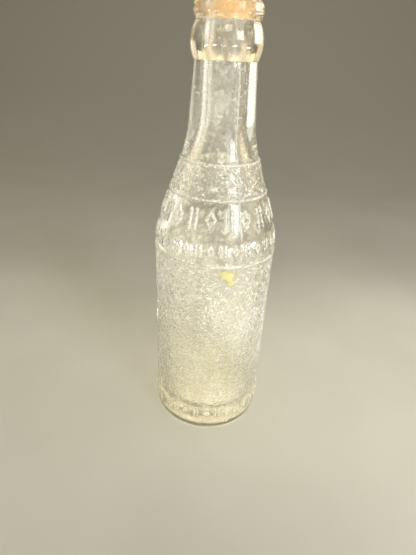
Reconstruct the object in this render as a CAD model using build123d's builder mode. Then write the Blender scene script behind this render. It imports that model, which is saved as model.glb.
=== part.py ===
"""Clear glass soda bottle with a crown finish, raised rings and raised rows of lozenges and bars.

Millimetres. The origin is the middle of the base, on the surface that the bottle stands on, and +Z runs up
the bottle's axis. The front is the -Y side, where a scrap of old label is stuck.
"""

import os
from math import asin, atan2, cos, radians, sin, tan

from build123d import *

# Outside of the body, shoulder and neck
BOTTLE_HEIGHT = 196.5
BEARING_RADIUS = 24.3  # outer edge of the flat ring that the bottle stands on
HEEL_RADIUS = 28.55
HEEL_TOP_Z = 16.4
BODY_RADIUS = 28.3
SHOULDER_CORNER_Z = 106.2  # height where the body's line meets the shoulder cone's line
SHOULDER_FILLET = 50.0
NECK_ROOT_RADIUS = 14.6  # radius and height where the cone's line meets the neck's line
NECK_ROOT_Z = 147.1
NECK_ROOT_FILLET = 60.0
NECK_TOP_RADIUS = 12.7
NECK_TOP_Z = 176.4
PUSH_UP_RADIUS = 19.0
PUSH_UP_DEPTH = 3.0

# Crown finish: swell, recess, locking ring and lip
SWELL_RADIUS = 14.2
SWELL_Z = 183.1
RECESS_RADIUS = 12.2
RECESS_Z = 189.5
RECESS_FILLET = 1.0
LOCKING_RING_RADIUS = 13.3
LOCKING_RING_LOW_Z = 191.9
LOCKING_RING_HIGH_Z = 193.5
LIP_RADIUS = 9.2  # radius of the circle where the lip is highest
FILLET_MARGIN = 0.01  # a rounding stays this much short of its line's end

# Inside
MOUTH_RADIUS = 6.4
MOUTH_BOTTOM_Z = 149.0  # height where the mouth's line meets the inner cone's line
MOUTH_FILLET = 45.0
LIP_INNER_FILLET = LIP_RADIUS - MOUTH_RADIUS
CHAMBER_RADIUS = 24.0
CHAMBER_SHOULDER_Z = 105.0
CHAMBER_SHOULDER_FILLET = 40.0
CHAMBER_FLOOR_Z = 8.0
CHAMBER_CROWN_Z = 9.5  # the floor inside rises a little to its middle
CHAMBER_HEEL_FILLET = 9.0

# Raised rings, half an ellipse in section
RING_HEIGHTS_Z = (99.0, 126.2, 139.4)
RING_RISE = 0.5
RING_HALF_WIDTH = 0.7

# Rows of ornament: height of the middle, motif's height and width, number of motifs, azimuth of the first
WIDE_ROW = (118.4, 9.0, 5.2, 20, -5.3)
NARROW_ROW = (106.1, 5.8, 3.8, 32, -3.2)
HEEL_ROW = (12.4, 5.0, 3.7, 32, 2.0)
ORNAMENT_RISE = 0.6
ORNAMENT_ROOT = 0.6  # depth from which each motif rises inside the wall
STROKE = 1.3

# Scrap of old label
SCRAP_AZIMUTH = 11.0
SCRAP_THICKNESS = 0.12

SHOULDER_LEAN = atan2(BODY_RADIUS - NECK_ROOT_RADIUS, NECK_ROOT_Z - SHOULDER_CORNER_Z)
SHOULDER_ARC_LOW_Z = SHOULDER_CORNER_Z - SHOULDER_FILLET * tan(SHOULDER_LEAN / 2)
SHOULDER_ARC_HIGH_Z = SHOULDER_ARC_LOW_Z + SHOULDER_FILLET * sin(SHOULDER_LEAN)


def wall_at(z):
    """Outside radius, and lean from upright in radians, at height z from the base to the neck's root."""
    if z <= HEEL_TOP_Z:
        return HEEL_RADIUS, 0
    if z <= SHOULDER_ARC_LOW_Z:
        return BODY_RADIUS, 0
    if z <= SHOULDER_ARC_HIGH_Z:
        lean = asin((z - SHOULDER_ARC_LOW_Z) / SHOULDER_FILLET)
        return BODY_RADIUS - SHOULDER_FILLET * (1 - cos(lean)), lean
    return NECK_ROOT_RADIUS + (NECK_ROOT_Z - z) * tan(SHOULDER_LEAN), SHOULDER_LEAN


def front_plane(azimuth, radius, z, lean=0):
    """Plane that faces out at an azimuth from the front, in degrees, and leans back by radians."""
    turn = radians(azimuth)
    outward = Vector(sin(turn), -cos(turn), 0)
    across = Vector(cos(turn), sin(turn), 0)
    facing = outward * cos(lean) + Vector(0, 0, sin(lean))
    return Plane(outward * radius + Vector(0, 0, z), x_dir=across, z_dir=facing)


def motif_planes(row, first):
    """Planes of every second motif of a row, counted from the first, just inside the wall."""
    middle_z, _, _, count, start = row
    radius, lean = wall_at(middle_z)
    return [
        front_plane(start + 360 * index / count, radius, middle_z, lean).offset(-ORNAMENT_ROOT)
        for index in range(first, count, 2)
    ]


with BuildPart() as glass_bottle:
    with BuildSketch(Plane.XZ) as glass_section:
        with BuildLine():
            TangentArc((0, PUSH_UP_DEPTH), (PUSH_UP_RADIUS, 0), tangent=(1, 0))
            Line((PUSH_UP_RADIUS, 0), (BEARING_RADIUS, 0))
            heel_fillet = HEEL_RADIUS - BEARING_RADIUS - FILLET_MARGIN
            heel_step = HEEL_RADIUS - BODY_RADIUS
            FilletPolyline(
                (BEARING_RADIUS, 0),
                (HEEL_RADIUS, 0),
                (HEEL_RADIUS, HEEL_TOP_Z),
                (BODY_RADIUS, HEEL_TOP_Z + heel_step),
                (BODY_RADIUS, SHOULDER_CORNER_Z),
                (NECK_ROOT_RADIUS, NECK_ROOT_Z),
                (NECK_TOP_RADIUS, NECK_TOP_Z),
                radius=[heel_fillet, 0, 0, SHOULDER_FILLET, NECK_ROOT_FILLET],
            )
            ThreePointArc((NECK_TOP_RADIUS, NECK_TOP_Z), (SWELL_RADIUS, SWELL_Z), (RECESS_RADIUS, RECESS_Z))
            TangentArc(
                (LOCKING_RING_RADIUS, LOCKING_RING_LOW_Z), (RECESS_RADIUS, RECESS_Z), tangent=(0, -1)
            )
            Line((LOCKING_RING_RADIUS, LOCKING_RING_LOW_Z), (LOCKING_RING_RADIUS, LOCKING_RING_HIGH_Z))
            EllipticalCenterArc(
                (LIP_RADIUS, LOCKING_RING_HIGH_Z),
                LOCKING_RING_RADIUS - LIP_RADIUS,
                BOTTLE_HEIGHT - LOCKING_RING_HIGH_Z,
                arc_size=90,
            )
            Polyline((LIP_RADIUS, BOTTLE_HEIGHT), (0, BOTTLE_HEIGHT), (0, PUSH_UP_DEPTH))
        make_face()
        recess_corner = glass_section.vertices().sort_by_distance((RECESS_RADIUS, RECESS_Z))[0]
        fillet(recess_corner, RECESS_FILLET)
    revolve(axis=Axis.Z)

    for ring_z in RING_HEIGHTS_Z:
        with BuildSketch(Plane.XZ):
            with Locations((wall_at(ring_z)[0], ring_z)):
                Ellipse(RING_RISE, RING_HALF_WIDTH)
        revolve(axis=Axis.Z)

    for row in (WIDE_ROW, NARROW_ROW, HEEL_ROW):
        _, height, width, _, _ = row
        inner_share = 1 - 2 * STROKE / width
        with BuildSketch(*motif_planes(row, 0)):
            Polygon((0, height / 2), (-width / 2, 0), (0, -height / 2), (width / 2, 0))
            Polygon(
                (0, inner_share * height / 2),
                (-inner_share * width / 2, 0),
                (0, -inner_share * height / 2),
                (inner_share * width / 2, 0),
                mode=Mode.SUBTRACT,
            )
        extrude(amount=ORNAMENT_ROOT + ORNAMENT_RISE)
        with BuildSketch(*motif_planes(row, 1)):
            with GridLocations(width / 2, 0, 2, 1):
                Rectangle(STROKE, height)
        extrude(amount=ORNAMENT_ROOT + ORNAMENT_RISE)

    with BuildSketch(Plane.XZ):
        with BuildLine():
            FilletPolyline(
                (0, CHAMBER_CROWN_Z),
                (CHAMBER_RADIUS, CHAMBER_FLOOR_Z),
                (CHAMBER_RADIUS, CHAMBER_SHOULDER_Z),
                (MOUTH_RADIUS, MOUTH_BOTTOM_Z),
                (MOUTH_RADIUS, BOTTLE_HEIGHT - LIP_INNER_FILLET),
                radius=[CHAMBER_HEEL_FILLET, CHAMBER_SHOULDER_FILLET, MOUTH_FILLET],
            )
            CenterArc((LIP_RADIUS, BOTTLE_HEIGHT - LIP_INNER_FILLET), LIP_INNER_FILLET, 180, -90)
            Polyline((LIP_RADIUS, BOTTLE_HEIGHT), (0, BOTTLE_HEIGHT), (0, CHAMBER_CROWN_Z))
        make_face()
    revolve(axis=Axis.Z, mode=Mode.SUBTRACT)

with BuildPart() as label_scrap:
    with BuildSketch(front_plane(SCRAP_AZIMUTH, BODY_RADIUS / 2, 0)):
        with BuildLine():
            Spline(
                (-1.4, 97.6),
                (-2.3, 96.1),
                (-1.4, 94.3),
                (0.9, 92.9),
                (1.3, 91.5),
                (2.6, 90.3),
                (4.3, 91.4),
                (3.7, 92.7),
                (3.3, 93.9),
                (4.0, 95.5),
                (4.6, 97.4),
                (3.1, 97.0),
                (0.9, 97.8),
                periodic=True,
            )
        make_face()
    extrude(amount=BODY_RADIUS)
    with BuildSketch():
        Circle(BODY_RADIUS + SCRAP_THICKNESS)
        Circle(BODY_RADIUS, mode=Mode.SUBTRACT)
    extrude(amount=SHOULDER_ARC_LOW_Z, mode=Mode.INTERSECT)

os.makedirs("parts", exist_ok=True)

glass_bottle.part.label = "glass_bottle"
export_step(glass_bottle.part, "parts/glass_bottle.step")

label_scrap.part.label = "label_scrap"
export_step(label_scrap.part, "parts/label_scrap.step")

print("outside radius at the rings:", [round(wall_at(z)[0], 2) for z in RING_HEIGHTS_Z])
print("glass volume in mm3:", round(glass_bottle.part.volume), "pieces:", len(glass_bottle.part.solids()))
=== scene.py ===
import math

import bpy
import numpy as np
from mathutils import Matrix, Vector, noise
from mathutils.geometry import delaunay_2d_cdt


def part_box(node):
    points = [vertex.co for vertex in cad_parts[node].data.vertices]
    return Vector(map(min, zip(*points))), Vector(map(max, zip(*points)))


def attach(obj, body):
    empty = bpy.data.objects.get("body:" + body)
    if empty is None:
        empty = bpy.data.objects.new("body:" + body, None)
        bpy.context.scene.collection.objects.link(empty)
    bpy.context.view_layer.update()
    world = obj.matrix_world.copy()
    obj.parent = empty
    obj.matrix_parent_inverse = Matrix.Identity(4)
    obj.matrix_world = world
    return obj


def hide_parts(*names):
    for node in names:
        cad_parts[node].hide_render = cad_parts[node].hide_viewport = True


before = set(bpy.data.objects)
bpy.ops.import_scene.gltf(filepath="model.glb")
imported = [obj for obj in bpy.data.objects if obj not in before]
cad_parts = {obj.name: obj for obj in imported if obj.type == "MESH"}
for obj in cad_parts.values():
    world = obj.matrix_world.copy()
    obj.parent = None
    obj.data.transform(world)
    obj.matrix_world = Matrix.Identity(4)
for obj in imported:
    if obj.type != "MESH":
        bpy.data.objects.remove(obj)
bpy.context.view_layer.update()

bottle_low, bottle_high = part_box("glass_bottle")
HEIGHT = (bottle_high.z - bottle_low.z) * 1000

# ---------------------------------------------------------------- section of the glass, in millimetres
BODY_R, HEEL_R, HEEL_TOP, BEARING_R = 28.3, 28.55, 16.4, 24.3
PUSH_UP_R, PUSH_UP_DEPTH, PUSH_UP_ARC_R = 19.0, 3.0, 61.67
SHOULDER_CORNER = (BODY_R, 106.2)
NECK_ROOT = (14.6, 147.1)
SHOULDER_FILLET, NECK_ROOT_FILLET = 50.0, 60.0
NECK_TOP = (12.7, 176.4)
SWELL_SIDE = (14.2, 183.1)
RECESS = (12.2, 189.5)
LOCKING_RING_R, LOCKING_RING_LOW, LOCKING_RING_HIGH = 13.3, 191.9, 193.5
UNDER_RING_R, UNDER_RING_START = 3.17, -49.2  # the arc from the recess out to the locking ring
LIP_R = 9.2  # radius of the circle where the lip is highest
BORE_R, BORE_LOW, BORE_FILLET = 6.4, 149.0, 45.0
LIP_IN_R = LIP_R - BORE_R
CHAMBER_R, CHAMBER_SHOULDER, CHAMBER_FLOOR, CHAMBER_CROWN = 24.0, 105.0, 8.0, 9.5
CHAMBER_FILLETS = (40.0, 9.0)
RINGS = (99.0, 126.2, 139.4)
RING_RISE, RING_HALF = 0.5, 0.7
ORNAMENT_RISE, STROKE = 0.6, 1.3
# (middle height, motif height, motif width, motifs round the bottle, azimuth of the first)
ORNAMENT_ROWS = ((118.4, 9.0, 5.2, 20, -5.3), (106.1, 5.8, 3.8, 32, -3.2), (12.4, 5.0, 3.7, 32, 2.0))
SEAM_AZIMUTHS = (24.5, 204.5)
SCRAP_AZIMUTH = 11.0


def arc(centre, radius, start, end, step=0.1):
    """Points (r, z) along an arc between two angles in degrees."""
    count = max(3, int(abs(math.radians(end - start)) * radius / step))
    angles = np.radians(np.linspace(start, end, count))
    return np.stack([centre[0] + radius * np.cos(angles), centre[1] + radius * np.sin(angles)], 1)


def rounded(points, radii):
    """Points (r, z) along a polyline whose inner corners are rounded."""
    points = [np.array(p, float) for p in points]
    out = [points[0]]
    for before, corner, after, radius in zip(points, points[1:], points[2:], radii):
        if radius == 0:
            out.append(corner)
            continue
        a = (before - corner) / np.linalg.norm(before - corner)
        b = (after - corner) / np.linalg.norm(after - corner)
        half = math.acos(np.clip(a @ b, -1, 1)) / 2
        cut = radius / math.tan(half)
        middle = (a + b) / np.linalg.norm(a + b)
        centre = corner + middle * radius / math.sin(half)
        first, last = corner + a * cut - centre, corner + b * cut - centre
        start = math.degrees(math.atan2(first[1], first[0]))
        turn = math.degrees(math.atan2(last[1], last[0])) - start
        turn = (turn + 180) % 360 - 180
        out.extend(arc(centre, radius, start, start + turn))
    out.append(points[-1])
    return np.array(out)


def arc_through(first, middle, last):
    """Points (r, z) of the circular arc through three points."""
    (ax, ay), (bx, by), (cx, cy) = first, middle, last
    d = 2 * (ax * (by - cy) + bx * (cy - ay) + cx * (ay - by))
    a2, b2, c2 = ax * ax + ay * ay, bx * bx + by * by, cx * cx + cy * cy
    centre_x = (a2 * (by - cy) + b2 * (cy - ay) + c2 * (ay - by)) / d
    centre_y = (a2 * (cx - bx) + b2 * (ax - cx) + c2 * (bx - ax)) / d
    radius = math.hypot(ax - centre_x, ay - centre_y)
    start = math.degrees(math.atan2(ay - centre_y, ax - centre_x))
    end = math.degrees(math.atan2(cy - centre_y, cx - centre_x))
    return arc((centre_x, centre_y), radius, start, end)


def resampled(points, step=0.05):
    """The same line with even, fine spacing."""
    gaps = np.hypot(*np.diff(points, axis=0).T)
    keep = np.concatenate([[True], gaps > 1e-6])
    points = points[keep]
    along = np.concatenate([[0], np.cumsum(np.hypot(*np.diff(points, axis=0).T))])
    places = np.linspace(0, along[-1], int(along[-1] / step))
    return np.stack([np.interp(places, along, points[:, k]) for k in (0, 1)], 1)


def softened(points, reach):
    """Rounds every corner of a finely spaced line a little, as fire does glass."""
    kernel = np.exp(-0.5 * (np.arange(-3 * reach, 3 * reach + 1) / reach) ** 2)
    kernel /= kernel.sum()
    start, end = np.repeat(points[:1], 3 * reach, 0), np.repeat(points[-1:], 3 * reach, 0)
    padded = np.concatenate([start, points, end])
    return np.stack([np.convolve(padded[:, k], kernel, "valid") for k in (0, 1)], 1)


push_up_half_angle = math.degrees(math.asin(PUSH_UP_R / PUSH_UP_ARC_R))
push_up = arc((0, PUSH_UP_DEPTH - PUSH_UP_ARC_R), PUSH_UP_ARC_R, 90, 90 - push_up_half_angle)
wall = rounded(
    [
        (PUSH_UP_R, 0),
        (HEEL_R, 0),
        (HEEL_R, HEEL_TOP),
        (BODY_R, HEEL_TOP + HEEL_R - BODY_R),
        SHOULDER_CORNER,
        NECK_ROOT,
        NECK_TOP,
    ],
    [HEEL_R - BEARING_R, 0, 0, SHOULDER_FILLET, NECK_ROOT_FILLET],
)
swell = arc_through(NECK_TOP, SWELL_SIDE, RECESS)
ring_under = arc((LOCKING_RING_R - UNDER_RING_R, LOCKING_RING_LOW), UNDER_RING_R, UNDER_RING_START, 0)
quarter = np.linspace(0, np.pi / 2, 60)
lip_r = LIP_R + (LOCKING_RING_R - LIP_R) * np.cos(quarter)
lip_z = LOCKING_RING_HIGH + (HEIGHT - LOCKING_RING_HIGH) * np.sin(quarter)
lip = np.stack([lip_r, lip_z], 1)
lip_in = arc((LIP_R, HEIGHT - LIP_IN_R), LIP_IN_R, 90, 180)
inside = rounded(
    [
        (BORE_R, HEIGHT - LIP_IN_R),
        (BORE_R, BORE_LOW),
        (CHAMBER_R, CHAMBER_SHOULDER),
        (CHAMBER_R, CHAMBER_FLOOR),
        (0, CHAMBER_CROWN),
    ],
    [BORE_FILLET, *CHAMBER_FILLETS],
)
outer_line = softened(resampled(np.concatenate([push_up, wall, swell, ring_under, lip])), 3)
outer_line[0] = (0, PUSH_UP_DEPTH)
inner_line = softened(resampled(np.concatenate([lip_in, inside])), 6)
inner_line[-1] = (0, inner_line[-1][1])


def spaced(line, spacing):
    """Picks points of a fine line so that neighbours are spacing(r, z) apart."""
    step = float(np.median(np.hypot(*np.diff(line, axis=0).T)))
    picked, gone = [0], 0.0
    for i in range(1, len(line) - 1):
        gone += step
        if gone >= spacing(*line[i]):
            picked.append(i)
            gone = 0.0
    return picked + [len(line) - 1]


# Rings of points: (height that a spacing reaches up to, spacing), closer where the relief is finer
RING_SPACINGS = (
    (9.0, 0.7), (17.0, 0.36), (98.0, 0.5), (127.2, 0.38), (140.4, 0.42), (175.5, 1.2), (177.4, 0.16))
PUSH_UP_SPACING, FINISH_SPACING, LIP_TOP_SPACING = 2.2, 0.5, 0.7
INNER_SPACING, INNER_LIP_SPACING = 1.6, 0.5
# Points in one ring
FEW_COLUMNS, COLUMNS, MANY_COLUMNS = 96, 288, 576
MANY_COLUMNS_BANDS = ((9.0, 16.3), (101.5, 124.5))


def within(z, bands):
    return any(low < z < high for low, high in bands)


def in_push_up(r, z):
    return z < 3.5 and r < PUSH_UP_R - 0.5


def outer_spacing(r, z):
    if in_push_up(r, z):
        return PUSH_UP_SPACING
    for top, spacing in RING_SPACINGS:
        if z < top:
            return spacing
    return FINISH_SPACING if r > LIP_R + 0.4 else LIP_TOP_SPACING


def outer_columns(r, z):
    if in_push_up(r, z):
        return FEW_COLUMNS
    return MANY_COLUMNS if within(z, MANY_COLUMNS_BANDS) else COLUMNS


def inner_spacing(r, z):
    return INNER_LIP_SPACING if z > LOCKING_RING_HIGH else INNER_SPACING


def inner_columns(r, z):
    return FEW_COLUMNS


# ---------------------------------------------------------------- relief of the outer face
def hump(distance, half):
    """1 at the middle of a ridge, 0 at its sides, round on top."""
    return np.clip(1 - (distance / half) ** 2, 0, 1) ** 0.8


def step_up(value, low, high):
    """0 below low, 1 above high, and smooth between them."""
    t = np.clip((value - low) / (high - low), 0, 1)
    return t * t * (3 - 2 * t)


wall_fine = resampled(wall)
wall_z, wall_r = wall_fine[:, 1], wall_fine[:, 0]


def ornament(azimuth, z):
    """Height of the raised lozenges and bars, 0 to 1."""
    total = np.zeros_like(azimuth)
    for middle, height, width, count, start in ORNAMENT_ROWS:
        radius = BODY_R if middle < 90 else float(np.interp(middle, wall_z, wall_r))
        pitch = 360.0 / count
        index = np.round((azimuth - start) / pitch)
        u = np.radians(azimuth - start - index * pitch) * radius
        v = z - middle
        slope = math.hypot(height, width)
        lozenge = (np.abs(u) * height + np.abs(v) * width - height * width / 2) / slope
        lozenge = np.abs(lozenge + STROKE / 2)
        bars = np.hypot(np.abs(u) - width / 4, np.maximum(np.abs(v) - height / 2 + STROKE / 2, 0))
        distance = np.where(index % 2 == 0, lozenge, bars)
        total = np.maximum(total, 1 - step_up(distance, STROKE * 0.22, STROKE * 0.62))
    return total


# Stippled bands: heights where each starts to rise, is full, starts to fall and has ended
STIPPLED = ((16.9, 18.2, 97.0, 98.2), (126.9, 127.8, 137.8, 138.7))


def stipple_zone(z):
    """1 in the stippled bands, 0 outside them."""
    body, shoulder = (step_up(z, a, b) * (1 - step_up(z, c, d)) for a, b, c, d in STIPPLED)
    return np.maximum(body, shoulder)


def noise_at(points, scale, seed):
    """Noise from -1 to 1 at each point; a seed moves it to another part of the field."""
    shift = Vector((17.3 * seed, -9.1 * seed, 4.7 * seed))
    return np.array([noise.noise(Vector(p) * scale + shift) for p in points])


def scrap_cover(azimuth, z):
    """1 under the label scrap, where the glass is left smooth for it to lie on."""
    u = np.radians(azimuth - SCRAP_AZIMUTH) * BODY_R
    far = np.hypot((u - 1.2) / 4.8, (z - 94.1) / 5.2)
    return 1 - step_up(far, 0.9, 1.1)


# (azimuth, height, half width, half height, strength), the widths and heights in millimetres
COMBED_PATCH = (-23, 38, 9, 10, 1.0)
HAZE_PATCHES = (
    COMBED_PATCH,
    (43, 66, 6, 9, 0.9),
    (18, 27, 13, 8, 0.6),
    (-48, 52, 5, 22, 0.5),
    (60, 96, 6, 16, 0.5),
    (-38, 163, 3, 15, 0.7),
    (14, 158, 4, 8, 0.35),
    (-30, 106, 8, 6, 0.5),
    (120, 40, 16, 14, 0.7),
    (175, 70, 14, 20, 0.6),
    (-120, 30, 15, 10, 0.8),
    (-150, 90, 8, 14, 0.5),
    (100, 160, 4, 10, 0.5),
    (190, 155, 4, 12, 0.5),
)
# orange patches at the lip: painted warm light from a warm surround behind the bottle shining through the
# lip, laid on as orange film
PAINTED_WARM_LIGHT_PATCHES = (
    (8, 193.0, 7.5, 2.6, 1.0),
    (-52, 193.4, 2.5, 1.6, 0.35),
    (95, 193.2, 5, 1.6, 0.5),
    (205, 192.8, 6, 1.8, 0.7),
)


def patches(listed, azimuth, r, z):
    """Sum of soft round patches laid on the wall."""
    total = np.zeros(len(azimuth))
    for middle, height, wide, tall, strength in listed:
        across = np.radians((azimuth - middle + 180) % 360 - 180) * r
        total += strength * np.exp(-(across / wide) ** 2 - ((z - height) / tall) ** 2)
    return total


# Stipple of the pressed glass: long bent ridges with pebbles on them, in millimetres
RIDGE_RISE, PEBBLE_RISE, PEBBLE_SIZE = 0.13, 0.24, 1.25
PEBBLE_STRENGTH = ((20, 45, 74, 84), (0.55, 0.7, 0.85, 1.15))  # heights, and strength at each
SEAM_RISE, SEAM_HALF = 0.13, 0.42
SEAM_LOW, SEAM_HIGH = 4.5, 175
ORNAMENT_BANDS = ((9, 16.2), (100, 125))


def stipple(azimuth, r, z, points):
    """Height of the stipple on one ring of points, and its wear, which also paints glints on the crests."""
    bend = 5.5 * noise_at(points, 1 / 24, 3) + 1.6 * noise_at(points, 1 / 8, 4)
    strength = float(np.interp(z[0], *PEBBLE_STRENGTH))
    combed = 0.6 + 1.0 * np.minimum(patches((COMBED_PATCH,), azimuth, r, z), 1)
    ripple = np.array([
        noise.noise(Vector((p[0] * 0.34, p[1] * 0.34, (p[2] + b) * 0.72)) + Vector((3.1, 8.2, 1.7)))
        for p, b in zip(points, bend)
    ])
    ridges = np.clip(1 - np.abs(ripple) * 3.4, -0.5, 1)
    pebbles = np.clip(noise_at(points, 1 / PEBBLE_SIZE, 5) * 1.6, -0.4, 1)
    smooth = 1 - 0.9 * scrap_cover(azimuth, z)
    raised = smooth * (RIDGE_RISE * combed * ridges + PEBBLE_RISE * strength * pebbles)
    crests = np.maximum(0.9 * step_up(pebbles, 0.5, 1.0), 0.55 * step_up(ridges, 0.55, 1.0))
    return raised, smooth * crests


def add_seams(azimuth, r, points, total, wear_and_glints):
    """Adds the fine, slightly wandering ridges of the mould seams to a ring's relief and wear, the wear also
    painting a highlight along each seam.
    """
    for seam in SEAM_AZIMUTHS:
        across = np.radians((azimuth - seam + 180) % 360 - 180) * r
        near = np.abs(across) < 1.5
        if near.any():
            wander = 0.18 * noise_at(points[near], 1 / 6, 6)
            line = hump(across[near] + wander, SEAM_HALF)
            total[near] += SEAM_RISE * line
            wear_and_glints[near] = np.maximum(wear_and_glints[near], 0.7 * line)


def outer_relief(azimuth, r, z):
    """How far one ring of points stands off the section, in millimetres, and how worn each point is, the wear
    also painting glints and highlights on the crests.
    """
    turn = np.radians(azimuth)
    points = np.stack([r * np.sin(turn), -r * np.cos(turn), z], 1)
    azimuth = (azimuth + 180) % 360 - 180
    total, wear_and_glints = np.zeros(len(points)), np.zeros(len(points))
    if z[0] > 3:
        total += 0.05 * noise_at(points, 1 / 17, 1)
    if within(z[0], ORNAMENT_BANDS):
        raised = ornament(azimuth, z)
        total += ORNAMENT_RISE * raised
        wear_and_glints = np.maximum(wear_and_glints, raised)
    for ring in RINGS:
        if abs(z[0] - ring) < 1.2:
            wander = 0.08 * noise_at(points, 1 / 9, 2)
            crest = hump(z - ring + wander, RING_HALF)
            total += RING_RISE * crest
            wear_and_glints = np.maximum(wear_and_glints, crest)
    zone = float(stipple_zone(z[:1])[0])
    if zone > 0:
        raised, crests = stipple(azimuth, r, z, points)
        total += zone * raised
        wear_and_glints = np.maximum(wear_and_glints, zone * crests)
    if SEAM_LOW < z[0] < SEAM_HIGH:
        add_seams(azimuth, r, points, total, wear_and_glints)
    return total, wear_and_glints


def inner_relief(azimuth, r, z):
    """Unevenness of the blown inner face, in millimetres."""
    turn = np.radians(azimuth)
    points = np.stack([r * np.sin(turn), -r * np.cos(turn), z], 1)
    amount = 0.12 if r[0] < 6.8 else 0.30
    long_waves = noise_at(points * np.array([1, 1, 0.45]), 1 / 13, 7)
    streaks = noise_at(points * np.array([1, 1, 0.12]), 1 / 4.5, 8)
    return amount * long_waves + 0.25 * amount * streaks, np.zeros(len(points))


# ---------------------------------------------------------------- mesh of the glass
vertices, faces, worn_and_glinting, inner = [], [], [], []


def add_ring(r, z, normal, count, relief):
    """Adds one ring of points round the axis and gives their indices; one point where r is 0."""
    first = len(vertices)
    if r < 0.01:
        vertices.append((0.0, 0.0, z / 1000))
        worn_and_glinting.append(0.0)
        inner.append(float(relief is inner_relief))
        return [first]
    azimuth = np.arange(count) * 360.0 / count
    off, wear_and_glints = relief(azimuth, np.full(count, r), np.full(count, z))
    worn_and_glinting.extend(wear_and_glints)
    inner.extend([float(relief is inner_relief)] * count)
    turn = np.radians(azimuth)
    rr, zz = r + off * normal[0], z + off * normal[1]
    vertices.extend(zip(rr * np.sin(turn) / 1000, -rr * np.cos(turn) / 1000, zz / 1000))
    return list(range(first, first + count))


def join_rings(low, high):
    """Faces between two neighbouring rings, one of which may have several times as many points."""
    if len(low) == 1 or len(high) == 1:
        tip, ring = (low[0], high) if len(low) == 1 else (high[0], low)
        for i in range(len(ring)):
            pair = (ring[i], ring[(i + 1) % len(ring)])
            faces.append((tip, pair[1], pair[0]) if len(low) == 1 else (pair[0], pair[1], tip))
        return
    n, m = len(low), len(high)
    if n >= m:
        k = n // m
        for j in range(m):
            fine = [low[(j * k + i) % n] for i in range(k + 1)]
            faces.append(tuple(fine + [high[(j + 1) % m], high[j]]))
    else:
        k = m // n
        for j in range(n):
            fine = [high[(j * k + i) % m] for i in range(k + 1)]
            faces.append(tuple([low[j], low[(j + 1) % n]] + fine[::-1]))


def lay_rings(line, picked, columns, relief, previous=None):
    """Lays rings along a line of the section, joins each to the one before, and gives the last."""
    slopes = np.gradient(line, axis=0)
    normals = np.stack([slopes[:, 1], -slopes[:, 0]], 1)
    normals /= np.linalg.norm(normals, axis=1, keepdims=True)
    for i in picked:
        ring = add_ring(line[i][0], line[i][1], normals[i], columns(*line[i]), relief)
        if previous is not None:
            join_rings(previous, ring)
        previous = ring
    return previous


last = lay_rings(outer_line, spaced(outer_line, outer_spacing), outer_columns, outer_relief)
inner_picked = spaced(inner_line, inner_spacing)[1:]
lay_rings(inner_line, inner_picked, inner_columns, inner_relief, last)

glass_mesh = bpy.data.meshes.new("bottle_glass")
glass_mesh.from_pydata(vertices, [], faces)
glass_mesh.validate()
glass_mesh.shade_smooth()
corners = np.array(vertices) * 1000
corner_azimuth = np.degrees(np.arctan2(corners[:, 0], -corners[:, 1]))
corner_r = np.hypot(corners[:, 0], corners[:, 1])
hazed = patches(HAZE_PATCHES, corner_azimuth, corner_r, corners[:, 2])
# mask of the painted warm light at the lip
lip_painted_warm_light = patches(PAINTED_WARM_LIGHT_PATCHES, corner_azimuth, corner_r, corners[:, 2])
for name, values in (("wear_and_glints", worn_and_glinting), ("inner", inner), ("haze", hazed), ("painted_warm_light", lip_painted_warm_light)):
    layer = glass_mesh.attributes.new(name, "FLOAT", "POINT")
    layer.data.foreach_set("value", np.array(values, np.float32))
glass = bpy.data.objects.new("bottle_glass", glass_mesh)
bpy.context.scene.collection.objects.link(glass)


# ---------------------------------------------------------------- material helpers
def new_material(name):
    material = bpy.data.materials.new(name)
    material.use_nodes = True
    material.node_tree.nodes.clear()
    return material, material.node_tree.nodes, material.node_tree.links


def node(nodes, kind, **settings):
    """New node; a setting is an input socket's value where the node has such a socket."""
    made = nodes.new(kind)
    for key, value in settings.items():
        if key in made.inputs:
            made.inputs[key].default_value = value
        else:
            setattr(made, key, value)
    return made


def ramp(nodes, links, source, stops):
    """Colour ramp on a value; stops are (place, grey or colour)."""
    made = nodes.new("ShaderNodeValToRGB")
    while len(made.color_ramp.elements) < len(stops):
        made.color_ramp.elements.new(0.5)
    for element, (place, colour) in zip(made.color_ramp.elements, stops):
        element.position = place
        element.color = (colour, colour, colour, 1) if isinstance(colour, float) else (*colour, 1)
    links.new(source, made.inputs["Fac"])
    return made.outputs["Color"]


def maths(nodes, links, operation, a, b):
    made = nodes.new("ShaderNodeMath")
    made.operation = operation
    for socket, value in zip(made.inputs, (a, b)):
        if isinstance(value, (int, float)):
            socket.default_value = value
        else:
            links.new(value, socket)
    return made.outputs[0]


def product(nodes, links, *values):
    total = values[0]
    for value in values[1:]:
        total = maths(nodes, links, "MULTIPLY", total, value)
    return total


def added(nodes, links, *values):
    total = values[0]
    for value in values[1:]:
        total = maths(nodes, links, "ADD", total, value)
    return total


def noise_on(nodes, links, place, **settings):
    made = node(nodes, "ShaderNodeTexNoise", **settings)
    links.new(place, made.inputs["Vector"])
    return made.outputs["Fac"]


def mixed(nodes, links, amount, below, above):
    """Mix of two shaders, all above where the amount is 1."""
    made = node(nodes, "ShaderNodeMixShader")
    links.new(amount, made.inputs["Fac"])
    links.new(below.outputs[0], made.inputs[1])
    links.new(above.outputs[0], made.inputs[2])
    return made


def up_bottle(nodes, links, height, stops):
    """Colour ramp up the bottle; stops are (millimetres above the base, grey or colour)."""
    return ramp(nodes, links, height, [(z / HEIGHT, colour) for z, colour in stops])


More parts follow.
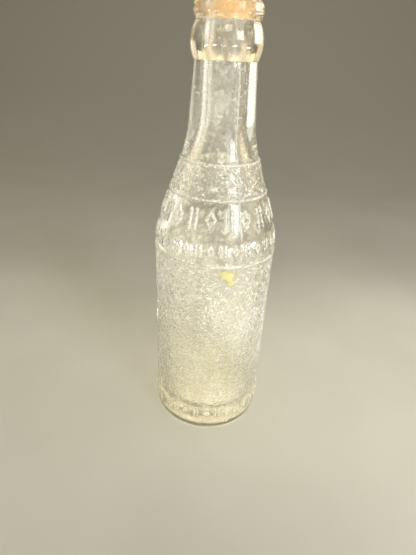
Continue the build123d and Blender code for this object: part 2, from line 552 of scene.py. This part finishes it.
# ---------------------------------------------------------------- glass
def clear_glass(nodes, links, height, haze, fine):
    """The glass itself, rougher where it is stippled or hazed and on the inner face of the neck."""
    zone = up_bottle(nodes, links, height, [
        (0.0, 0.15), (16.4, 0.15), (17.5, 1.0), (98.0, 1.0), (98.8, 0.12),
        (126.8, 0.12), (127.6, 1.0), (138.6, 1.0), (139.6, 0.08), (HEIGHT, 0.08)])
    in_face = node(nodes, "ShaderNodeAttribute", attribute_name="inner").outputs["Fac"]
    inner_rough = up_bottle(nodes, links, height, [(0.0, 0.10), (130.0, 0.08), (148.0, 0.22), (HEIGHT, 0.22)])
    rough = added(
        nodes, links,
        product(nodes, links, zone, 0.03),
        product(nodes, links, haze, 0.06),
        product(nodes, links, in_face, inner_rough),
        0.015)
    bump = node(nodes, "ShaderNodeBump", Strength=0.8, Distance=0.0002)
    links.new(product(nodes, links, fine, zone), bump.inputs["Height"])
    shader = node(nodes, "ShaderNodeBsdfPrincipled", IOR=1.52)
    shader.inputs["Base Color"].default_value = (0.985, 0.975, 0.94, 1)
    shader.inputs["Transmission Weight"].default_value = 1.0
    links.new(rough, shader.inputs["Roughness"])
    links.new(bump.outputs[0], shader.inputs["Normal"])
    return shader


def film_cover(nodes, links, place, height, haze, fine):
    """Share of the surface that a white film hides: haze, with painted glow at the heel; dust specks, made
    dense as painted sparkle in the stippled bands; worn crests, partly painted glints; and painted warm light
    over the finish.
    """
    # white specks: dust, made dense in the stippled bands as painted sparkle of the lamps on the pebbles
    dust_and_sparkle_noise = noise_on(nodes, links, place, Scale=520.0, Detail=3.0, Roughness=0.65)
    specks_and_sparkles = ramp(nodes, links, dust_and_sparkle_noise, [(0.59, 0.0), (0.63, 1.0)])
    speck_and_sparkle_amount = up_bottle(nodes, links, height, [
        (0.0, 0.15), (60.0, 0.3), (76.0, 0.95), (97.0, 0.95), (100.0, 0.35),
        (126.0, 0.35), (128.0, 0.9), (138.0, 0.9), (141.0, 0.4), (HEIGHT, 0.4)])
    # haze up the bottle; the thick cream film at the heel is a painted glow of light gathered by the thick
    # base
    haze_and_heel_glow = up_bottle(nodes, links, height, [
        (0.0, 2.6), (16.0, 2.0), (18.0, 0.6), (HEIGHT / 2, 0.45), (140.0, 0.45),
        (150.0, 0.55), (175.0, 0.55), (177.0, 0.5), (HEIGHT, 0.5)])
    broad = noise_on(nodes, links, place, Scale=42.0, Detail=2.0, Roughness=0.5)
    clouds = ramp(nodes, links, broad, [(0.38, 0.45), (0.64, 1.5)])
    haze_here = node(nodes, "ShaderNodeAttribute", attribute_name="haze").outputs["Fac"]
    # worn crests: white scuffs, and painted glints standing for lamp sparkle on the raised glass, the seams
    # and the lettering
    worn_and_glinting_crests = node(nodes, "ShaderNodeAttribute", attribute_name="wear_and_glints").outputs["Fac"]
    scuffs_and_glints = ramp(nodes, links, fine, [(0.36, 0.15), (0.62, 1.0)])
    # film over the finish carries painted warm light: its peach to orange colour stands for a warm surround
    # seen in and through the lip
    finish_painted_warm_light = up_bottle(nodes, links, height, [(188.8, 0.0), (191.0, 0.10), (HEIGHT, 0.06)])
    return added(
        nodes, links,
        product(nodes, links, haze, haze_and_heel_glow, clouds, 0.09),
        product(nodes, links, haze_here, haze, 0.30),
        product(nodes, links, specks_and_sparkles, speck_and_sparkle_amount),
        product(nodes, links, worn_and_glinting_crests, scuffs_and_glints, 0.95),
        finish_painted_warm_light)


def film_shader(nodes, links, height):
    """Matt film: cream-yellow at the heel as painted glow, whitish on the body, and peach to orange over the
    finish as painted warm light from a warm surround.
    """
    film = node(nodes, "ShaderNodeBsdfPrincipled", Roughness=0.8)
    links.new(up_bottle(nodes, links, height, [
        (0.0, (0.95, 0.92, 0.74)), (HEIGHT / 10, (0.95, 0.93, 0.84)), (176.0, (0.93, 0.91, 0.86)),
        (177.0, (0.96, 0.84, 0.62)), (188.5, (0.96, 0.84, 0.62)), (190.5, (0.97, 0.72, 0.40)),
        (HEIGHT, (0.97, 0.84, 0.58))]), film.inputs["Base Color"])
    return film


def glass_material():
    """Clear glass under a film of haze, dust and wear that also carries painted glow, sparkle and glints,
    with painted warm light in orange patches at the lip.
    """
    material, nodes, links = new_material("soda_glass")
    out = node(nodes, "ShaderNodeOutputMaterial")
    place = node(nodes, "ShaderNodeTexCoord").outputs["Object"]
    split = node(nodes, "ShaderNodeSeparateXYZ")
    links.new(place, split.inputs[0])
    height = product(nodes, links, split.outputs["Z"], 1000.0 / HEIGHT)
    fine = noise_on(nodes, links, place, Scale=1150.0, Detail=2.0, Roughness=0.5)
    smudge = noise_on(nodes, links, place, Scale=150.0, Detail=4.0, Roughness=0.62, Distortion=0.5)
    haze = ramp(nodes, links, smudge, [(0.36, 0.12), (0.70, 1.0)])

    shader = clear_glass(nodes, links, height, haze, fine)
    cover = film_cover(nodes, links, place, height, haze, fine)
    filmed = mixed(nodes, links, cover, shader, film_shader(nodes, links, height))

    # painted warm light: an orange matt layer in patches at the lip, standing for warm light that comes
    # through it from behind
    painted_warm_light = node(nodes, "ShaderNodeBsdfPrincipled", Roughness=0.7)
    painted_warm_light.inputs["Base Color"].default_value = (0.93, 0.52, 0.16, 1)
    painted_warm_light_here = node(nodes, "ShaderNodeAttribute", attribute_name="painted_warm_light").outputs["Fac"]
    painted_warm_light_blotches = ramp(nodes, links, smudge, [(0.30, 0.25), (0.62, 0.55)])
    with_painted_warm_light = mixed(nodes, links, product(nodes, links, painted_warm_light_here, painted_warm_light_blotches), filmed, painted_warm_light)

    # light passes straight through to the floor, dimmed, so that the shadow is soft and clear
    through = node(nodes, "ShaderNodeBsdfTransparent")
    through.inputs["Color"].default_value = (0.80, 0.785, 0.73, 1)
    shadow_ray = node(nodes, "ShaderNodeLightPath").outputs["Is Shadow Ray"]
    links.new(mixed(nodes, links, shadow_ray, with_painted_warm_light, through).outputs[0], out.inputs["Surface"])
    tint = node(nodes, "ShaderNodeVolumeAbsorption", Density=9.0)
    tint.inputs["Color"].default_value = (0.97, 0.93, 0.72, 1)
    links.new(tint.outputs[0], out.inputs["Volume"])
    return material


glass_mesh.materials.append(glass_material())

# ---------------------------------------------------------------- scrap of old label
# (distance round the wall from the scrap's azimuth, height), in millimetres
SCRAP_OUTLINE = [
    (-1.4, 97.6), (-2.3, 96.1), (-1.4, 94.3), (0.9, 92.9), (1.3, 91.5), (2.6, 90.3), (4.3, 91.4), (3.7, 92.7),
    (3.3, 93.9), (4.0, 95.5), (4.6, 97.4), (3.1, 97.0), (0.9, 97.8)]
SCRAP_THICKNESS, SCRAP_GAP = 0.12, 0.07  # the gap keeps it off the uneven glass


def closed_curve(points, each):
    """Smooth closed line through the points."""
    p = np.array(points)
    out = []
    for i in range(len(p)):
        a, b, c, d = p[i - 1], p[i], p[(i + 1) % len(p)], p[(i + 2) % len(p)]
        for t in np.arange(each) / each:
            square, cube = 2 * a - 5 * b + 4 * c - d, 3 * b - a - 3 * c + d
            out.append(0.5 * (2 * b + (c - a) * t + square * t * t + cube * t ** 3))
    return np.array(out)


def torn_edge():
    """The scrap's outline, drawn in a little and made ragged."""
    edge = closed_curve(SCRAP_OUTLINE, 10)
    centre = edge.mean(0)
    torn = np.array([noise.noise(Vector((p[0] * 1.9, p[1] * 1.9, 4.0))) for p in edge])
    inward = (centre - edge) / np.linalg.norm(centre - edge, axis=1, keepdims=True)
    return edge + inward * (0.10 + 0.16 * torn[:, None])


def filled(edge):
    """Points and triangles of a flat sheet inside a closed line."""
    grid = [(u, v) for u in np.arange(-2.8, 5.2, 0.2) for v in np.arange(90.0, 98.4, 0.2)]
    points = [Vector(p) for p in edge] + [Vector((u + 0.05 * math.sin(9 * v), v)) for u, v in grid]
    boundary = [(i, (i + 1) % len(edge)) for i in range(len(edge))]
    points, _, triangles, _, _, _ = delaunay_2d_cdt(points, boundary, [], 1, 1e-5)
    used = sorted({i for t in triangles for i in t})
    renumber = {old: new for new, old in enumerate(used)}
    return [points[i] for i in used], [tuple(renumber[i] for i in t) for t in triangles]


def open_edges(triangles):
    """Edges that only one triangle has."""
    edges = [(a, b) for t in triangles for a, b in zip(t, t[1:] + t[:1])]
    every = set(edges)
    return [(a, b) for a, b in edges if (b, a) not in every]


def on_glass(u, v, off):
    """Place in metres of a point u round the wall, v up it and off above it, in millimetres."""
    turn = math.radians(SCRAP_AZIMUTH) + u / BODY_R
    radius = BODY_R + off
    return (radius * math.sin(turn) / 1000, -radius * math.cos(turn) / 1000, v / 1000)


def flat_noise(p, scale, layer):
    return noise.noise(Vector((p.x * scale, p.y * scale, layer)))


flat, triangles = filled(torn_edge())
rim = open_edges(triangles)
rim_points = np.array([flat[i] for e in rim for i in e])
under, over = [], []
for p in flat:
    inside_by = float(np.min(np.hypot(rim_points[:, 0] - p.x, rim_points[:, 1] - p.y)))
    crumple = 0.09 * flat_noise(p, 1.1, 0.0) + 0.05 * flat_noise(p, 3.1, 2.0)
    lift = 0.12 * math.exp(-inside_by / 0.35) * (0.5 + flat_noise(p, 0.9, 7.0))
    low = SCRAP_GAP + max(0.0, lift)
    under.append(on_glass(p.x, p.y, low))
    over.append(on_glass(p.x, p.y, low + SCRAP_THICKNESS + max(-0.06, crumple)))
count = len(flat)
scrap_faces = [tuple(i + count for i in t) for t in triangles] + [t[::-1] for t in triangles]
scrap_faces += [(a, b, b + count, a + count) for a, b in rim]
scrap_mesh = bpy.data.meshes.new("torn_label")
scrap_mesh.from_pydata(under + over, [], scrap_faces)
scrap_mesh.validate()
scrap_mesh.shade_smooth()
scrap = bpy.data.objects.new("torn_label", scrap_mesh)
bpy.context.scene.collection.objects.link(scrap)


def paper_material():
    """Yellowed paper with blotches of gum."""
    material, nodes, links = new_material("old_label_paper")
    out = node(nodes, "ShaderNodeOutputMaterial")
    place = node(nodes, "ShaderNodeTexCoord").outputs["Object"]
    blotch = noise_on(nodes, links, place, Scale=420.0, Detail=4.0, Roughness=0.6)
    fibre = noise_on(nodes, links, place, Scale=2600.0, Detail=3.0, Roughness=0.7)
    paper = node(nodes, "ShaderNodeBsdfPrincipled")
    links.new(ramp(nodes, links, blotch, [
        (0.30, (0.74, 0.62, 0.20)), (0.46, (0.92, 0.86, 0.36)), (0.70, (0.96, 0.95, 0.60))]),
        paper.inputs["Base Color"])
    links.new(ramp(nodes, links, fibre, [(0.3, 0.62), (0.7, 0.9)]), paper.inputs["Roughness"])
    bump = node(nodes, "ShaderNodeBump", Strength=0.5, Distance=0.00006)
    links.new(fibre, bump.inputs["Height"])
    links.new(bump.outputs[0], paper.inputs["Normal"])
    links.new(paper.outputs[0], out.inputs["Surface"])
    return material


scrap_mesh.materials.append(paper_material())

for piece, stands_for, slot in ((glass, "glass_bottle", "glass"), (scrap, "label_scrap", "label")):
    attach(piece, "root")
    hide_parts(stands_for)

# ---------------------------------------------------------------- floor and backdrop in one sweep
ACROSS = 9  # points across the sweep
sweep = rounded([(-1.6, 0.0), (1.15, 0.0), (1.15, 1.9)], [0.7])
rows = [[(x, y, z) for x in np.linspace(-1.9, 1.9, ACROSS)] for y, z in sweep[:: max(1, len(sweep) // 40)]]
floor_vertices = [p for row in rows for p in row]
floor_faces = []
for i in range(len(rows) - 1):
    for j in range(ACROSS - 1):
        first = i * ACROSS + j
        floor_faces.append((first, first + 1, first + ACROSS + 1, first + ACROSS))
floor_mesh = bpy.data.meshes.new("studio_floor")
floor_mesh.from_pydata(floor_vertices, [], floor_faces)
floor_mesh.shade_smooth()
floor = bpy.data.objects.new("studio_floor", floor_mesh)
bpy.context.scene.collection.objects.link(floor)


def floor_material():
    """Pale matt paint, a little deeper towards the backdrop."""
    material, nodes, links = new_material("pale_floor")
    out = node(nodes, "ShaderNodeOutputMaterial")
    place = node(nodes, "ShaderNodeTexCoord").outputs["Object"]
    cloud = noise_on(nodes, links, place, Scale=14.0, Detail=3.0)
    near = ramp(nodes, links, cloud, [(0.3, (0.52, 0.505, 0.45)), (0.7, (0.56, 0.545, 0.49))])
    where = node(nodes, "ShaderNodeSeparateXYZ")
    links.new(place, where.inputs[0])
    away = ramp(nodes, links, where.outputs["Y"], [(0.25, 0.0), (0.80, 1.0)])
    tone = node(nodes, "ShaderNodeMix", data_type="RGBA")
    links.new(away, tone.inputs["Factor"])
    links.new(near, tone.inputs["A"])
    tone.inputs["B"].default_value = (0.45, 0.43, 0.385, 1)
    paint = node(nodes, "ShaderNodeBsdfPrincipled", Roughness=0.85)
    paint.inputs["Specular IOR Level"].default_value = 0.0
    links.new(tone.outputs["Result"], paint.inputs["Base Color"])
    links.new(paint.outputs[0], out.inputs["Surface"])
    return material


floor_mesh.materials.append(floor_material())


# ---------------------------------------------------------------- light
def hang(holder, position):
    """Puts a light in its place, hidden from the camera."""
    holder.location = position
    holder.visible_camera = False
    bpy.context.scene.collection.objects.link(holder)


def aim(holder, target):
    """Turns a light to face a point."""
    toward_target = Vector(target) - Vector(holder.location)
    holder.rotation_euler = toward_target.to_track_quat("-Z", "Y").to_euler()


def panel(name, wide, tall, radiance, colour):
    """Rectangular light of an even radiance."""
    lamp = bpy.data.lights.new(name, "AREA")
    lamp.shape = "RECTANGLE"
    lamp.size, lamp.size_y, lamp.color = wide, tall, colour
    lamp.energy = radiance * math.pi * wide * tall
    return bpy.data.objects.new(name, lamp)


def softbox(name, azimuth, elevation, distance, centre, wide, tall, radiance, colour, lights_floor=False):
    """Panel that faces a point on the bottle's axis, seen from it at an azimuth and elevation."""
    holder = panel(name, wide, tall, radiance, colour)
    a, e = math.radians(azimuth), math.radians(elevation)
    target = Vector((0, 0, centre))
    outward = Vector((math.sin(a) * math.cos(e), -math.cos(a) * math.cos(e), math.sin(e)))
    hang(holder, target + distance * outward)
    aim(holder, target)
    holder.visible_diffuse = lights_floor


def floor_card(name, azimuth, distance, wide, deep, radiance, colour):
    """Panel that lies on the floor, seen only through the glass; distance is from the bottle's axis."""
    holder = panel(name, wide, deep, radiance, colour)
    a = math.radians(azimuth)
    hang(holder, (distance * math.sin(a), -distance * math.cos(a), 0.001))
    holder.rotation_euler = (math.pi, 0, a)
    holder.visible_diffuse = False


def pool(name, x, y, energy, angle):
    """Soft round patch of light on the floor, from a spot well above it."""
    lamp = bpy.data.lights.new(name, "SPOT")
    lamp.energy, lamp.color, lamp.shadow_soft_size = energy, (1.0, 0.97, 0.82), 0.05
    lamp.spot_size, lamp.spot_blend = math.radians(angle), 1.0
    holder = bpy.data.objects.new(name, lamp)
    hang(holder, (1.6 * x, y + 0.05, 0.80))
    aim(holder, (x, y, 0.0))


CREAM, WARM, WHITE = (1.0, 0.95, 0.80), (1.0, 0.80, 0.50), (0.94, 0.97, 1.0)

# lights that light the floor too: azimuth, elevation, distance, centre's height, width, height, radiance
softbox("key_front", 4, 42, 1.0, 0.06, 0.30, 0.30, 7.0, CREAM, True)
softbox("lamp_right", 42, 21, 0.62, 0.135, 0.23, 0.25, 11.5, WHITE, True)
softbox("side_right", 80, 16, 0.80, 0.12, 0.40, 0.40, 1.6, CREAM, True)
softbox("side_left", -85, 14, 0.80, 0.12, 0.40, 0.40, 1.5, CREAM, True)
softbox("overhead", 170, 80, 1.1, 0.0, 0.90, 0.90, 0.5, CREAM, True)

# cards that only the glass shows, by refraction and reflection
softbox("card_back_right", 158, 26, 0.95, 0.16, 0.60, 0.40, 1.2, WARM)
softbox("card_back_left", -157, 26, 0.95, 0.16, 0.60, 0.40, 1.3, WARM)
softbox("card_far_right", 115, 18, 0.95, 0.16, 0.75, 0.50, 0.7, WARM)
softbox("card_far_left", -115, 18, 0.95, 0.16, 0.75, 0.50, 0.6, WARM)
softbox("window_left", -126, -7, 0.50, 0.16, 0.40, 0.20, 0.45, CREAM)
softbox("window_left_core", -130, -7, 0.50, 0.16, 0.28, 0.20, 0.75, WHITE)
softbox("window_right", 122, -7, 0.50, 0.16, 0.12, 0.20, 0.25, WARM)
SPARKS = (
    ("spark_a", -38, -4), ("spark_b", 26, -4), ("spark_c", 72, -4), ("spark_d", -8, -5), ("spark_e", -66, -4))
for name, azimuth, elevation in SPARKS:
    softbox(name, azimuth, elevation, 0.75, 0.085, 0.16, 0.05, 30, WHITE)
floor_card("glow_left", -128, 0.32, 0.26, 0.34, 0.55, (1.0, 0.97, 0.88))
floor_card("glow_right", 140, 0.20, 0.10, 0.30, 0.38, (1.0, 0.97, 0.86))
GLINTS = (
    ("glint_a", 177, 0.10), ("glint_b", -160, 0.12), ("glint_c", 148, 0.13), ("glint_d", 166, 0.18),
    ("glint_e", -138, 0.10), ("glint_f", 130, 0.10))
for name, azimuth, distance in GLINTS:
    floor_card(name, azimuth, distance, 0.012, 0.012, 4.5, (1.0, 0.98, 0.90))

pool("pool_right", 0.14, 0.02, 10.0, 26)
pool("pool_left", -0.14, 0.0, 6.0, 26)
pool("pool_base", 0.0, 0.0, 1.5, 16)

world = bpy.data.worlds.new("studio")
world.use_nodes = True
nodes, links = world.node_tree.nodes, world.node_tree.links
sky = nodes["Background"]
toward = node(nodes, "ShaderNodeSeparateXYZ")
links.new(node(nodes, "ShaderNodeTexCoord").outputs["Generated"], toward.inputs[0])
links.new(ramp(nodes, links, toward.outputs["Z"], [
    (0.5, (1.0, 0.91, 0.69)), (0.9, (0.95, 0.89, 0.72))]), sky.inputs["Color"])
sky.inputs["Strength"].default_value = 0.29
bpy.context.scene.world = world
bpy.context.scene.view_settings.view_transform = "Standard"

# ---------------------------------------------------------------- camera
PITCH, YAW, ROLL = 0.5052, -0.0131, -0.0545
CAMERA_PLACE = (0, -0.1770, 0.1768)
LENS, SENSOR_WIDTH = 25.71, 36
forward = Vector((math.sin(YAW) * math.cos(PITCH), math.cos(YAW) * math.cos(PITCH), -math.sin(PITCH)))
right = Vector((math.cos(YAW), -math.sin(YAW), 0))
down = forward.cross(right)
across = right * math.cos(ROLL) + down * math.sin(ROLL)
below = down * math.cos(ROLL) - right * math.sin(ROLL)
camera_data = bpy.data.cameras.new("camera")
camera_data.sensor_width = SENSOR_WIDTH
camera_data.lens = LENS
camera_data.clip_start = 0.01
camera = bpy.data.objects.new("camera", camera_data)
basis = Matrix((across, -below, -forward)).transposed().to_4x4()
camera.matrix_world = Matrix.Translation(CAMERA_PLACE) @ basis
bpy.context.scene.collection.objects.link(camera)
bpy.context.scene.camera = camera
